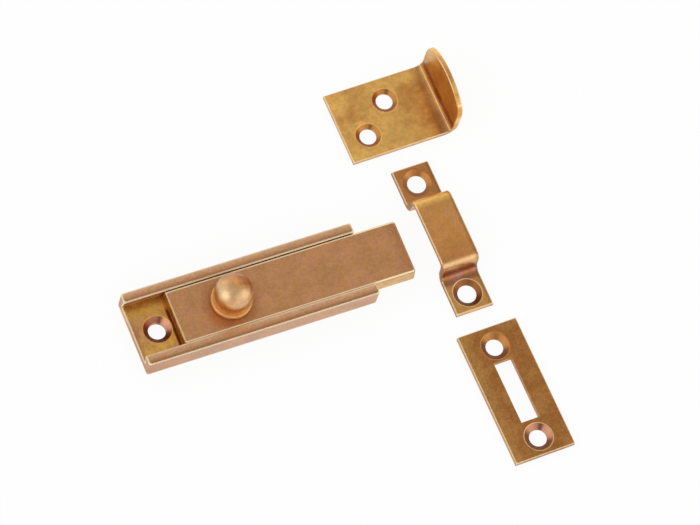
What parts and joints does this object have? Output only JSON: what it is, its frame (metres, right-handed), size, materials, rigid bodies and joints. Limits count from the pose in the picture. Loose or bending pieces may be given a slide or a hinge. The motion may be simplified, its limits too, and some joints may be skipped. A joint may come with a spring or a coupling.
{
  "type": "slide bolt",
  "caption": "Flat brass slide bolt: a knobbed bar in a dovetail channel, with an angle keep, a staple keep and a strike plate lying loose beside it.",
  "frame": {"origin": "middle of the channel's flat back, in the plane that it is screwed to", "axes": "+X along the channel, the way the bolt is thrown; +Z out of the door, towards the knob; +Y completes the right-handed set"},
  "size_m": [0.1222, 0.1344, 0.0191],
  "materials": {
    "bolt_brass": "satin, brown with age",
    "knob_brass": "satin, worn bright by fingers",
    "spring_bronze": "satin",
    "angle_brass": "satin, golden and mottled",
    "staple_brass": "satin, golden brown",
    "strike_brass": "satin, dark brown"
  },
  "bodies": {
    "channel": {"channel": "bolt_brass", "stop_pin": "bolt_brass", "angle_keep": "angle_brass", "staple_keep": "staple_brass", "strike_keep": "strike_brass"},
    "bolt": {"bolt_bar": "bolt_brass", "knob": "knob_brass", "friction_spring": "spring_bronze"}
  },
  "joints": [
    {"name": "bolt_slide", "type": "slide", "parent": "channel", "child": "bolt", "axis": [1, 0, 0], "range_m": [-0.026, 0]}
  ]
}
